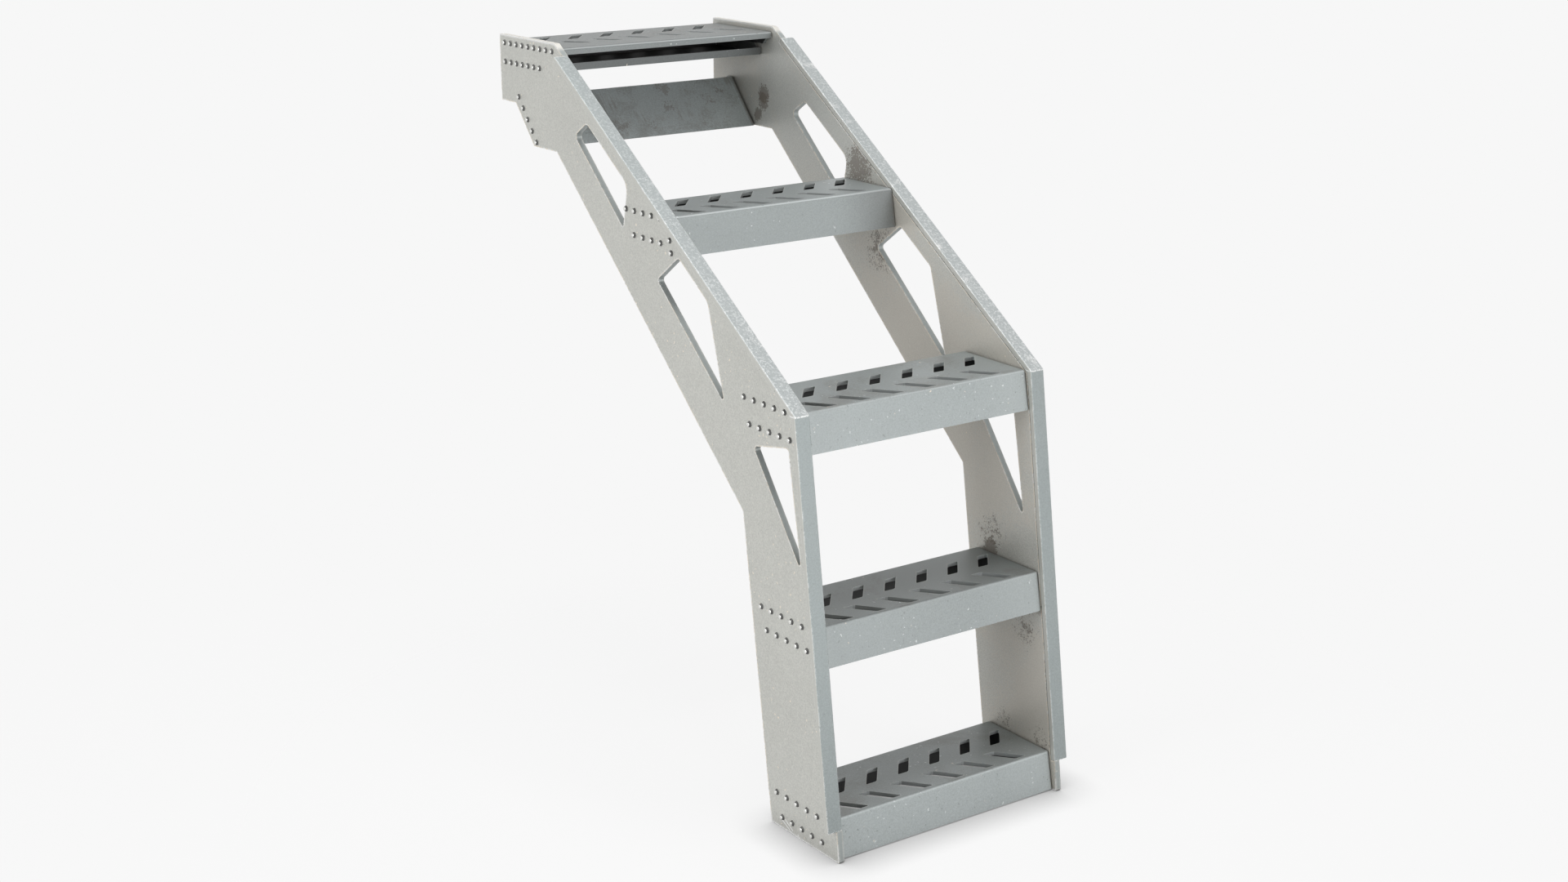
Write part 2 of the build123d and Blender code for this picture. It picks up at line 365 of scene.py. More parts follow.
def build_blotches():
    """Soft blotches with a speckled rim, as left by wiped grease and mud."""
    group, given, result = new_group(
        "blotches",
        [("Scale", FLOAT, 8.0), ("Amount", FLOAT, 0.5), ("Speckle Scale", FLOAT, 320.0)],
        [("Mask", FLOAT)],
    )
    where = object_place(group)
    blotch = noise(group, where, given["Scale"], detail=6.0, roughness=0.6, distortion=0.4)
    speckle = noise(group, where, given["Speckle Scale"], detail=2.0, roughness=0.7)
    limit = calculate(group, "MULTIPLY_ADD", given["Amount"], -0.4, 0.75)
    both = calculate(group, "MULTIPLY_ADD", calculate(group, "SUBTRACT", speckle, 0.5), 0.35, blotch)
    feed(group, result["Mask"], remap(group, both, limit, calculate(group, "ADD", limit, 0.16)))
    return group


def build_spatter():
    """Dark specks that thin out from one place on the piece."""
    group, given, result = new_group(
        "spatter",
        [
            ("Centre", VECTOR, (0.0, 0.0, 0.0)),
            ("Reach", FLOAT, 0.05),
            ("Density", FLOAT, 0.5),
            ("Scale", FLOAT, 330.0),
        ],
        [("Mask", FLOAT)],
    )
    where = object_place(group)
    apart = add_node(group, "ShaderNodeVectorMath", operation="DISTANCE")
    feed(group, apart.inputs[0], where)
    feed(group, apart.inputs[1], given["Centre"])
    near = remap(group, apart.outputs["Value"], 0.0, given["Reach"], 1.0, 0.0)
    specks = noise(group, where, given["Scale"], detail=2.0, roughness=0.6, distortion=0.8)
    coarse = calculate(group, "MULTIPLY", given["Scale"], 0.2)
    clumps = noise(group, where, coarse, detail=3.0, roughness=0.6)
    both = calculate(group, "MULTIPLY_ADD", specks, 0.6, calculate(group, "MULTIPLY", clumps, 0.4))
    thick = calculate(group, "MULTIPLY", near, given["Density"])
    limit = calculate(group, "MULTIPLY_ADD", thick, -0.34, 0.7)
    dots = remap(group, both, limit, calculate(group, "ADD", limit, 0.05))
    feed(group, result["Mask"], overlap(group, dots, remap(group, near, 0.0, 0.25)))
    return group


def build_scratch():
    """One straight scratch that starts at a place and runs a way, ragged along its sides."""
    group, given, result = new_group(
        "scratch",
        [
            ("Start", VECTOR, (0.0, 0.0, 0.0)),
            ("Run", VECTOR, (0.0, 0.01, 0.0)),
            ("Width", FLOAT, 0.001),
        ],
        [("Mask", FLOAT)],
    )
    where = object_place(group)
    out = add_node(group, "ShaderNodeVectorMath", operation="SUBTRACT")
    feed(group, out.inputs[0], where)
    feed(group, out.inputs[1], given["Start"])
    along = add_node(group, "ShaderNodeVectorMath", operation="DOT_PRODUCT")
    feed(group, along.inputs[0], out.outputs[0])
    feed(group, along.inputs[1], given["Run"])
    whole = add_node(group, "ShaderNodeVectorMath", operation="DOT_PRODUCT")
    feed(group, whole.inputs[0], given["Run"])
    feed(group, whole.inputs[1], given["Run"])
    share = calculate(group, "DIVIDE", along.outputs["Value"], whole.outputs["Value"], clamp=True)
    foot = add_node(group, "ShaderNodeVectorMath", operation="SCALE")
    feed(group, foot.inputs[0], given["Run"])
    feed(group, foot.inputs["Scale"], share)
    apart = add_node(group, "ShaderNodeVectorMath", operation="DISTANCE")
    feed(group, apart.inputs[0], out.outputs[0])
    feed(group, apart.inputs[1], foot.outputs[0])
    ragged = calculate(group, "MULTIPLY", noise(group, where, 500.0, detail=2.0), given["Width"])
    core = calculate(group, "MULTIPLY", ragged, 0.8)
    feed(group, result["Mask"], remap(group, apart.outputs["Value"], core, ragged, 1.0, 0.0))
    return group


def build_streaks():
    """Run marks that follow one direction, in a few patches."""
    group, given, result = new_group(
        "streaks",
        [("Stretch", VECTOR, (120.0, 9.0, 9.0)), ("Patch Scale", FLOAT, 9.0), ("Amount", FLOAT, 0.5)],
        [("Mask", FLOAT)],
    )
    where = object_place(group)
    drawn = add_node(group, "ShaderNodeVectorMath", operation="MULTIPLY")
    feed(group, drawn.inputs[0], where)
    feed(group, drawn.inputs[1], given["Stretch"])
    runs = noise(group, drawn.outputs[0], 1.0, detail=3.0, roughness=0.6)
    patch = noise(group, where, given["Patch Scale"], detail=3.0, roughness=0.55)
    limit = calculate(group, "MULTIPLY_ADD", given["Amount"], -0.3, 0.7)
    area = remap(group, patch, limit, calculate(group, "ADD", limit, 0.12))
    feed(group, result["Mask"], overlap(group, remap(group, runs, 0.47, 0.62), area))
    return group


EDGE_WEAR = build_edge_wear()
PAINT_GRAIN = build_paint_grain()
FLECKS = build_flecks()
BLOTCHES = build_blotches()
SPATTER = build_spatter()
STREAKS = build_streaks()
SCRATCH = build_scratch()

# Bare metal, primer and dirt; the brown and the dark dirt also serve as painted shade, and the rivets' flank
# colour is painted shade
WORN_METAL = (0.95, 0.95, 0.94, 1)
RIVET_METAL = (0.8, 0.8, 0.77, 1)
CREAM_PRIMER = (0.92, 0.83, 0.7, 1)
BROWN_DIRT_AND_SHADE = (0.17, 0.14, 0.115, 1)
DARK_DIRT_AND_SHADE = (0.085, 0.08, 0.075, 1)
SEAM_DIRT = (0.14, 0.11, 0.095, 1)
RUN_DIRT = (0.2, 0.155, 0.12, 1)
SMEAR_DIRT = (0.26, 0.22, 0.2, 1)
RIVET_FLANK_PAINTED_SHADE = (0.06, 0.06, 0.058, 1)

# Paint of the side plates; the blue on their front edges and near the head is painted shade
STRINGER_GREY = (0.605, 0.603, 0.562, 1)
STRINGER_HAZE = (0.67, 0.615, 0.535, 1)
STRINGER_BLUE_SHADE = (0.42, 0.46, 0.47, 1)
STRINGER_FRONT_PAINTED_SHADE = (0.36, 0.4, 0.4, 1)
STRINGER_PALE_CHIP = (0.75, 0.74, 0.7, 1)
STRINGER_HEAD_EDGE = (0.93, 0.9, 0.84, 1)

# Paint of the caps; the paler warm grey of their sides is painted light
CAP_BLUE = (0.35, 0.39, 0.39, 1)
CAP_SIDE_PAINTED_LIGHT = (0.6, 0.598, 0.557, 1)
CAP_WORN_GREY = (0.56, 0.59, 0.59, 1)
CAP_MOTTLE = (0.9, 0.92, 0.92, 1)
CAP_PIT = (0.2, 0.22, 0.22, 1)

# Paint of the steps, the head plates and the kick panel; painted light and shade among them: the paler end
# walls, the fold's highlight, the paler corners, the slot walls and the black hollow
PLATE_BLUE = (0.415, 0.452, 0.452)
PLATE_END_PAINTED_LIGHT = (0.62, 0.67, 0.67, 1)
PLATE_FOLD_PAINTED_HIGHLIGHT = (0.85, 0.89, 0.89, 1)
PLATE_GLINT = (0.85, 0.88, 0.88, 1)
PLATE_PIT = (0.24, 0.26, 0.26, 1)
PLATE_RIM = (0.74, 0.73, 0.69, 1)
PLATE_CORNER_PAINTED_LIGHT = (0.75, 0.8, 0.8, 1)
SLOT_WALL_PAINTED_LIGHT = (0.36, 0.38, 0.38, 1)
SLOT_REAR_WALL_PAINTED_LIGHT = (0.6, 0.63, 0.63, 1)
HOLLOW_PAINTED_SHADE = (0.025, 0.025, 0.025, 1)
PANEL_GREY = (0.61, 0.665, 0.67, 1)
PANEL_RIM = (0.62, 0.62, 0.6, 1)

# Relief of the paint: its depth, and the share of it that is grain
BUMP_DEPTH = 0.0005
GRAIN_HEIGHT = 0.6


class Finish:
    """A satin paint that is built up layer by layer."""

    def __init__(self, name, colour, grain, clouds, roughness=0.42, metallic=0.25):
        self.material = bpy.data.materials.new(name)
        self.material.use_nodes = True
        self.tree = self.material.node_tree
        self.shader = self.tree.nodes["Principled BSDF"]
        self.shader.inputs["Metallic"].default_value = metallic
        self.roughness = roughness
        self.grain = use_group(self.tree, PAINT_GRAIN, Grain=grain, Clouds=clouds)
        self.colour = blend_colour(self.tree, 1.0, colour, self.grain["Tone"], mode="MULTIPLY")
        self.dips = 0.0
        self.dull = 0.0

    def layer(self, mask, colour, share=1.0, dip=0.0, dull=0.0):
        """Lay a colour over the paint where a mask says."""
        strength = calculate(self.tree, "MULTIPLY", mask, share)
        self.colour = blend_colour(self.tree, strength, self.colour, colour)
        if dip:
            self.dips = calculate(self.tree, "MULTIPLY_ADD", mask, dip, self.dips)
        if dull:
            self.dull = calculate(self.tree, "MULTIPLY_ADD", mask, dull, self.dull)

    def contact_dirt_and_shade(self, reach, colour, share, low, high):
        """Darker where nearby surfaces close in: dirt along joints, and painted shade in corners where the
        reach is long.
        """
        corner = add_node(self.tree, "ShaderNodeAmbientOcclusion", samples=6)
        corner.inputs["Distance"].default_value = reach
        speckle = noise(self.tree, object_place(self.tree), 180.0, detail=3.0, roughness=0.7)
        closed = calculate(self.tree, "SUBTRACT", 1.0, corner.outputs["AO"])
        centred = calculate(self.tree, "SUBTRACT", speckle, 0.5)
        uneven = calculate(self.tree, "MULTIPLY_ADD", centred, 0.5, closed)
        self.layer(remap(self.tree, uneven, low, high), colour, share, dull=0.1)

    def finish(self, relief):
        """Link the layers to the shader and give the material."""
        tree = self.tree
        feed(tree, self.shader.inputs["Base Color"], self.colour)
        gloss = remap(tree, self.grain["Tone"], 0.92, 1.08, self.roughness - 0.05, self.roughness + 0.06)
        feed(tree, self.shader.inputs["Roughness"], calculate(tree, "ADD", gloss, self.dull))
        bump = add_node(tree, "ShaderNodeBump")
        bump.inputs["Strength"].default_value = relief
        bump.inputs["Distance"].default_value = BUMP_DEPTH
        sunk = calculate(tree, "MULTIPLY", self.dips, -1.0)
        height = calculate(tree, "MULTIPLY_ADD", self.grain["Height"], GRAIN_HEIGHT, sunk)
        feed(tree, bump.inputs["Height"], height)
        feed(tree, self.shader.inputs["Normal"], bump.outputs[0])
        return self.material


def surface_turn(tree, axis):
    """One part of the surface's own normal: 0 is X, 1 is Y and 2 is Z."""
    parts = add_node(tree, "ShaderNodeSeparateXYZ")
    feed(tree, parts.inputs[0], add_node(tree, "ShaderNodeNewGeometry").outputs["Normal"])
    return parts.outputs[axis]


def place_part(tree, axis):
    """One part of the place on the piece: 0 is X, 1 is Y and 2 is Z."""
    parts = add_node(tree, "ShaderNodeSeparateXYZ")
    feed(tree, parts.inputs[0], object_place(tree))
    return parts.outputs[axis]


def faces_aside(tree, low=0.6, high=0.9):
    """Mask of the surfaces that face left or right."""
    return remap(tree, calculate(tree, "ABSOLUTE", surface_turn(tree, 0)), low, high)


def faces_front(tree, low, high):
    """Mask of the surfaces that face the front."""
    return remap(tree, calculate(tree, "MULTIPLY", surface_turn(tree, 1), -1.0), low, high)


def faces_up(tree, low, high):
    """Mask of the surfaces that face up."""
    return remap(tree, surface_turn(tree, 2), low, high)


def fold_band(tree):
    """Mask of the rounded fold between a front wall and its tread."""
    rise = surface_turn(tree, 2)
    band = overlap(tree, remap(tree, rise, 0.3, 0.55), remap(tree, rise, 0.7, 0.95, 1.0, 0.0))
    return overlap(tree, band, faces_front(tree, 0.2, 0.5))


def shade_stringer(paint, inward, low, high):
    """Pale haze on the inner face, a painted bluer shade near the head, blue-grey painted shade on the front
    edges, and painted shade and dirt in the corners.
    """
    tree = paint.tree
    haze = use_group(tree, BLOTCHES, Scale=4.0, Amount=0.85)
    paint.layer(overlap(tree, haze["Mask"], inward), STRINGER_HAZE, 0.5)
    shade_start, shade_end = HEAD_SHADE_DROPS
    near_head = remap(tree, place_part(tree, 2), high.z - shade_start, high.z - shade_end)
    paint.layer(overlap(tree, near_head, inward), STRINGER_BLUE_SHADE, 0.2)
    # Forward-facing faces painted blue-grey: painted shade
    paint.layer(faces_front(tree, 0.2, 0.5), STRINGER_FRONT_PAINTED_SHADE, 0.85)
    # Darker where nearby surfaces close in: brown painted shade and dirt over a wide reach, dark dirt along
    # the joints
    paint.contact_dirt_and_shade(0.05, BROWN_DIRT_AND_SHADE, 0.3, 0.1, 0.9)
    paint.contact_dirt_and_shade(0.006, DARK_DIRT_AND_SHADE, 0.25, 0.12, 0.55)


def soil_stringer(paint, inward, inner_face):
    """Mud specks on the inner face, by the plates that carry them."""
    tree = paint.tree
    for node, along, above, reach, density in INNER_SPATTER:
        plate_low, plate_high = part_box(node)
        centre = (inner_face, plate_high.y + along, plate_low.z + above)
        mud = use_group(tree, SPATTER, Centre=centre, Reach=reach, Density=density)
        paint.layer(overlap(tree, mud["Mask"], inward), BROWN_DIRT_AND_SHADE, 0.7, dull=0.15)


def wear_stringer(paint, low, high):
    """Chips down to the primer, and edges rubbed bare, most of all at the foot and the head."""
    tree = paint.tree
    flecks = use_group(tree, FLECKS, Scale=85.0, Size=0.15, Amount=0.4, Gathering=0.48)
    paint.layer(flecks["Mask"], CREAM_PRIMER, 0.8, dip=0.5)
    small = use_group(tree, FLECKS, Scale=190.0, Size=0.16, Amount=0.12, Gathering=0.42)
    paint.layer(small["Mask"], STRINGER_PALE_CHIP, 0.6, dip=0.3)
    rims = calculate(tree, "MULTIPLY_ADD", faces_aside(tree), 0.8, 0.2)
    edges = use_group(tree, EDGE_WEAR, Amount=0.85, Width=0.0046)
    paint.layer(overlap(tree, edges["Mask"], rims), CREAM_PRIMER, 0.95, dip=0.3)
    bright = use_group(tree, EDGE_WEAR, Amount=0.6, Width=0.0048, Patch_Scale=30.0)
    paint.layer(overlap(tree, bright["Mask"], rims), WORN_METAL, 0.9, dip=0.4)
    rubbed = use_group(tree, EDGE_WEAR, Amount=1.1, Width=0.0065, Patch_Scale=60.0)
    height = place_part(tree, 2)
    foot = remap(tree, height, low.z + FOOT_RUB_RISES[1], low.z + FOOT_RUB_RISES[0], 1.0, 0.0)
    head = remap(tree, height, high.z - HEAD_RUB_DROPS[0], high.z - HEAD_RUB_DROPS[1])
    ends = overlap(tree, calculate(tree, "MAXIMUM", foot, head), rims)
    paint.layer(overlap(tree, rubbed["Mask"], ends), WORN_METAL, 0.95, dip=0.4)
    paint.layer(overlap(tree, faces_up(tree, 0.3, 0.6), head), STRINGER_HEAD_EDGE, 0.85)


def scratch_foot(paint, low):
    """Bright scratches on the outer face of the left foot."""
    for start, end in FOOT_SCRATCHES:
        place = Vector((low.x, start[0], low.z + start[1]))
        run = Vector((0, end[0] - start[0], end[1] - start[1]))
        mark = use_group(paint.tree, SCRATCH, Start=place, Run=run, Width=SCRATCH_WIDTH)
        paint.layer(mark["Mask"], WORN_METAL, 0.95, dip=0.5)


def finish_stringer(side):
    """Warm grey paint of a side plate, with cream chips, and brown dirt on the inner face."""
    sign = SIDES[side]
    paint = Finish("stringer_paint_" + side, STRINGER_GREY, grain=0.8, clouds=0.12)
    tree = paint.tree
    low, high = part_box("web_" + side)
    inner_face = low.x if sign > 0 else high.x
    inward = remap(tree, calculate(tree, "MULTIPLY", surface_turn(tree, 0), -sign), 0.5, 0.9)
    shade_stringer(paint, inward, low, high)
    soil_stringer(paint, inward, inner_face)
    wear_stringer(paint, low, high)
    if side == "left":
        scratch_foot(paint, low)
    return paint.finish(0.25)


def finish_cap(side):
    """Blue-grey bar paint, with its sides painted paler as painted light, mottled on the upper slope, with
    bright edges and a bare line at the knee.
    """
    paint = Finish("cap_paint_" + side, CAP_BLUE, grain=0.7, clouds=0.12)
    tree = paint.tree
    low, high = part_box("cap_" + side)
    height = place_part(tree, 2)
    # The sides painted warm and pale: painted light
    paint.layer(faces_aside(tree), CAP_SIDE_PAINTED_LIGHT)
    trodden = remap(tree, height, low.z + CAP_WEAR_RISE, high.z, *CAP_WEAR[side])
    worn = overlap(tree, faces_up(tree, 0.5, 0.7), trodden)
    paint.layer(worn, CAP_WORN_GREY, 0.7)
    mottle = noise(tree, object_place(tree), 240.0, detail=4.0, roughness=0.75)
    paint.layer(overlap(tree, remap(tree, mottle, 0.48, 0.62), worn), CAP_MOTTLE, 0.6)
    bare = use_group(tree, BLOTCHES, Scale=22.0, Amount=0.45, Speckle_Scale=420.0)
    paint.layer(overlap(tree, bare["Mask"], worn), WORN_METAL, 0.8)
    pits = use_group(tree, FLECKS, Scale=110.0, Size=0.14, Amount=0.35, Gathering=0.44)
    paint.layer(pits["Mask"], CAP_PIT, 0.45, dip=1.0)
    paint.contact_dirt_and_shade(0.005, DARK_DIRT_AND_SHADE, 0.4, 0.35, 0.85)
    edges = use_group(tree, EDGE_WEAR, Amount=0.7, Width=0.0022)
    paint.layer(edges["Mask"], WORN_METAL, 0.85, dip=0.3)
    from_knee = calculate(tree, "ABSOLUTE", calculate(tree, "SUBTRACT", height, low.z + KNEE_RISE))
    line = remap(tree, from_knee, *KNEE_CREASE, 1.0, 0.0)
    paint.layer(overlap(tree, line, remap(tree, mottle, 0.4, 0.5)), WORN_METAL, 0.8)
    return paint.finish(0.35)


def hollow(tree, name):
    """Mask of the inside of a pressed plate, below its tread and within its walls."""
    low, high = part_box(name)
    across = calculate(tree, "ABSOLUTE", place_part(tree, 0))
    along = place_part(tree, 1)
    rise = place_part(tree, 2)
    lean = STEP_TOE_OVERHANG * MM / (high.z - low.z) if name.startswith("step") else 0.0
    above = calculate(tree, "SUBTRACT", rise, low.z)
    front = calculate(tree, "MULTIPLY_ADD", above, lean, low.y + HOLLOW_SKIN)
    within = calculate(tree, "LESS_THAN", across, high.x - HOLLOW_SKIN)
    within = overlap(tree, within, calculate(tree, "GREATER_THAN", along, front))
    within = overlap(tree, within, calculate(tree, "LESS_THAN", along, high.y - HOLLOW_SKIN))
    return overlap(tree, within, calculate(tree, "LESS_THAN", rise, high.z - HOLLOW_SKIN))


def slot_walls(tree, name):
    """Mask of the cut walls of the slots, between the top and the underside of a tread."""
    low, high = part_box(name)
    across = calculate(tree, "ABSOLUTE", place_part(tree, 0))
    along = place_part(tree, 1)
    within = calculate(tree, "LESS_THAN", across, high.x - SLOT_MARGIN_SIDE)
    within = overlap(tree, within, calculate(tree, "LESS_THAN", along, high.y - SLOT_MARGIN_SIDE))
    within = overlap(tree, within, calculate(tree, "GREATER_THAN", along, low.y + SLOT_MARGIN_FRONT))
    skin = calculate(tree, "GREATER_THAN", place_part(tree, 2), high.z - HOLLOW_SKIN)
    upright = calculate(tree, "LESS_THAN", calculate(tree, "ABSOLUTE", surface_turn(tree, 2)), SLOT_WALL_TURN)
    return overlap(tree, overlap(tree, within, skin), upright)


def shade_plate(paint, name, upward):
    """Smudged top with painted shade, a painted highlight on the front fold, walls painted darker and paler
    towards the right end, and painted shade and dirt at the ends.
    """
    tree = paint.tree
    looks = PLATE_LOOKS[name]
    smudge = use_group(tree, BLOTCHES, Scale=9.0, Amount=0.6)
    paint.layer(overlap(tree, smudge["Mask"], upward), BROWN_DIRT_AND_SHADE, 0.32)
    # Painted highlight on the rounded front fold
    paint.layer(fold_band(tree), PLATE_FOLD_PAINTED_HIGHLIGHT, looks["painted_fold_highlight"])
    # Painted shade on the top
    paint.layer(upward, DARK_DIRT_AND_SHADE, looks["shade"])
    right_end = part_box(name)[1].x
    near_end = remap(tree, place_part(tree, 0), right_end - RIGHT_END_REACH, right_end)
    walls = overlap(tree, near_end, calculate(tree, "SUBTRACT", 1.0, upward))
    # The walls near the right end made darker and paler: painted shade and painted light
    paint.layer(walls, DARK_DIRT_AND_SHADE, looks["painted_end_shade"])
    paint.layer(walls, PLATE_END_PAINTED_LIGHT, looks["painted_end_light"])
    # Brown darkening where nearby surfaces close in: painted shade and dirt
    paint.contact_dirt_and_shade(0.04, BROWN_DIRT_AND_SHADE, looks["dirt"], 0.15, 0.9)
    paint.contact_dirt_and_shade(0.004, SEAM_DIRT, 0.15, 0.35, 0.8)


def wear_and_paint_light_on_plate(paint, upward):
    """Glints, cast pits, cream scuffs, pale rims round the tread, and rounded corners painted paler as
    painted light.
    """
    tree = paint.tree
    glints = use_group(tree, FLECKS, Scale=95.0, Size=0.15, Amount=0.4, Gathering=0.44)
    paint.layer(glints["Mask"], PLATE_GLINT, 0.6, dip=-0.5)
    pits = use_group(tree, FLECKS, Scale=120.0, Size=0.17, Amount=0.45, Gathering=0.42)
    paint.layer(pits["Mask"], PLATE_PIT, 0.6, dip=2.0)
    scuffs = use_group(tree, FLECKS, Scale=60.0, Size=0.1, Amount=0.3, Gathering=0.48)
    paint.layer(scuffs["Mask"], CREAM_PRIMER, 0.7, dip=0.4)
    edges = use_group(tree, EDGE_WEAR, Amount=0.95, Width=0.0026)
    paint.layer(overlap(tree, edges["Mask"], upward), PLATE_RIM, 0.4, dip=0.2)
    # Rounded corners painted paler: painted light
    corners = overlap(tree, faces_aside(tree, 0.2, 0.75), faces_front(tree, 0.1, 0.3))
    paint.layer(corners, PLATE_CORNER_PAINTED_LIGHT, 0.55)


def finish_plate(name):
    """Blue-grey paint of a step or a head plate in a tone that is painted shade, with slot walls painted as
    painted light and a hollow painted black as painted shade.
    """
    # The plate's tone is set to its shading: painted shade
    tone = PLATE_LOOKS[name]["tone"]
    colour = [part * tone for part in PLATE_BLUE] + [1]
    paint = Finish("paint_" + name, colour, grain=0.7, clouds=0.14)
    tree = paint.tree
    upward = faces_up(tree, 0.6, 0.9)
    shade_plate(paint, name, upward)
    wear_and_paint_light_on_plate(paint, upward)
    cut = slot_walls(tree, name)
    # The slot walls given a set tone that stands in for their light, and the front-facing ones a paler tone:
    # painted light
    paint.layer(cut, SLOT_WALL_PAINTED_LIGHT, 0.9)
    paint.layer(overlap(tree, cut, faces_front(tree, 0.75, 0.9)), SLOT_REAR_WALL_PAINTED_LIGHT, 0.9)
    # The inside of the plate painted near black: painted shade
    paint.layer(hollow(tree, name), HOLLOW_PAINTED_SHADE, 0.92)
    return paint.finish(0.4)


def finish_panel():
    """Grey kick panel with brown runs and wiped smears, and browner folded ends."""
    paint = Finish("panel_paint", PANEL_GREY, grain=0.7, clouds=0.25)
    tree = paint.tree
    smudge = use_group(tree, BLOTCHES, Scale=10.0, Amount=0.72)
    paint.layer(smudge["Mask"], BROWN_DIRT_AND_SHADE, 0.3, dull=0.1)
    runs = use_group(tree, STREAKS, Stretch=(150.0, 14.0, 14.0), Patch_Scale=12.0, Amount=0.72)
    paint.layer(runs["Mask"], RUN_DIRT, 0.35)
    for *centre, reach, density in KICK_SMEARS:
        smear = use_group(tree, SPATTER, Centre=centre, Reach=reach, Density=density, Scale=260.0)
        paint.layer(smear["Mask"], SMEAR_DIRT, 0.5, dull=0.1)
    # The folded ends made browner and darker: brown dirt and painted shade
    fold = remap(tree, calculate(tree, "ABSOLUTE", place_part(tree, 0)), *KICK_FOLD)
    paint.layer(fold, BROWN_DIRT_AND_SHADE, 0.35)
    # Darker where nearby surfaces close in: painted shade and dirt
    paint.contact_dirt_and_shade(0.02, BROWN_DIRT_AND_SHADE, 0.15, 0.2, 0.9)
    edges = use_group(tree, EDGE_WEAR, Amount=0.5, Width=0.0012)
    paint.layer(edges["Mask"], PANEL_RIM, 0.6)
    return paint.finish(0.3)


def finish_rivet():
    """Bright upset heads whose flanks are painted dark as painted shade."""
    paint = Finish("rivet_metal", RIVET_METAL, grain=0.3, clouds=0.1, roughness=0.28, metallic=0.6)
    tree = paint.tree
    outward = calculate(tree, "ABSOLUTE", surface_turn(tree, 0))
    speckle = noise(tree, object_place(tree), 300.0, detail=2.0)
    flank = calculate(tree, "MULTIPLY_ADD", speckle, 0.3, outward)
    # The flanks of the heads darkened: painted shade
    paint.layer(remap(tree, flank, 0.8, 1.0, 1.0, 0.0), RIVET_FLANK_PAINTED_SHADE, 0.9, dull=0.15)
    return paint.finish(0.2)


STRINGER_FINISHES = {side: finish_stringer(side) for side in SIDES}
CAP_FINISHES = {side: finish_cap(side) for side in SIDES}
PLATE_FINISHES = {name: finish_plate(name) for name in PLATE_LOOKS}
PANEL_FINISH = finish_panel()
RIVET_FINISH = finish_rivet()


def dress_nodes():
    """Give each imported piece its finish."""
    for name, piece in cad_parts.items():
        if name.startswith("web"):
            finish = STRINGER_FINISHES[name.split("_")[1]]
        elif name.startswith("cap"):
            finish = CAP_FINISHES[name.split("_")[1]]
        elif name == "kick_panel":
            finish = PANEL_FINISH
        else:
            finish = PLATE_FINISHES[name]
        if not piece.material_slots:
            piece.data.materials.append(finish)
        for slot in piece.material_slots:
            slot.material = finish


def model_rivet():
    """One rivet along X: a flat-topped head that stands on the plane X = 0 and points to +X."""
    deselect_all()
    bpy.ops.mesh.primitive_cylinder_add(
        vertices=RIVET_SIDES,
        radius=RIVET_HEAD_RADIUS * MM,
        depth=RIVET_HEAD_HEIGHT * MM,
        location=(RIVET_HEAD_HEIGHT / 2 * MM, 0, 0),
        rotation=(0, math.pi / 2, 0),
    )
    head = bpy.context.object
    bpy.ops.object.transform_apply(location=True, rotation=True, scale=True)
    bpy.ops.object.mode_set(mode="EDIT")
    bpy.ops.mesh.select_all(action="DESELECT")
    shape = bmesh.from_edit_mesh(head.data)
    for face in shape.faces:
        if face.normal.x > RIVET_TOP_TURN:
            face.select_set(True)
    bmesh.update_edit_mesh(head.data)
    crown = RIVET_CROWN_RADIUS / RIVET_HEAD_RADIUS
    bpy.ops.transform.resize(value=(1, crown, crown), center_override=(0, 0, 0))
    bpy.ops.mesh.bevel(offset=RIVET_CROWN_ROUNDING * MM, segments=RIVET_CROWN_SEGMENTS, affect="EDGES")
    bpy.ops.object.mode_set(mode="OBJECT")
    bpy.ops.object.shade_smooth_by_angle(angle=math.radians(RIVET_SMOOTH_DEGREES))
    return head


def place_rivets(name, pattern, spots, outward):
    """Copy the rivet to its spots on an outer face and join the copies in one piece."""
    copies = []
    for spot in spots:
        rivet = pattern.copy()
        rivet.data = pattern.data.copy()
        bpy.context.collection.objects.link(rivet)
        turn = Matrix.Rotation(0 if outward > 0 else math.pi, 4, "Z")
        rivet.data.transform(Matrix.Translation(spot) @ turn)
        copies.append(rivet)
    deselect_all()
    for rivet in copies:
        rivet.select_set(True)
    bpy.context.view_layer.objects.active = copies[0]
    bpy.ops.object.join()
    piece = bpy.context.object
    piece.name = name
    piece.data.materials.clear()
    piece.data.materials.append(RIVET_FINISH)
    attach(piece, "root")


def row(start, pitch, count):
    """Evenly spaced places along a row."""
    return [start + pitch * index for index in range(count)]


def step_spots(number, face):
    """Places of the rivets that hold one end of a step."""
    low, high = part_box("step_" + number)
    front = low.y + STEP_TOE_OVERHANG * MM
    upper_drop, lower_drop = STEP_RIVET_DROPS[number]
    upper, lower = STEP_UPPER_ROW, STEP_LOWER_ROW
    if number == "2":
        upper, lower = SHORT_STEP_UPPER_ROW, SHORT_STEP_LOWER_ROW
    spots = [(along, upper_drop) for along in row(*upper)]
    spots += [(along, lower_drop) for along in row(*lower)]
    if number == "2":
        spots += SHORT_STEP_FRONT_PAIR
    return [Vector((face, front + along * MM, high.z - drop * MM)) for along, drop in spots]


def deck_spots(face):
    """Places of the rivets along one end of the deck."""
    start, pitch, count, drop = DECK_ROW
    low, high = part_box("deck")
    places = row(start, pitch, count)
    return [Vector((face, low.y + along * MM, high.z - drop * MM)) for along in places]


def tray_spots(face):
    """Places of the rivets along one end of the tray."""
    start, pitch, count, rise = TRAY_ROW
    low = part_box("tray")[0]
    places = row(start, pitch, count)
    return [Vector((face, low.y + along * MM, low.z + rise * MM)) for along in places]


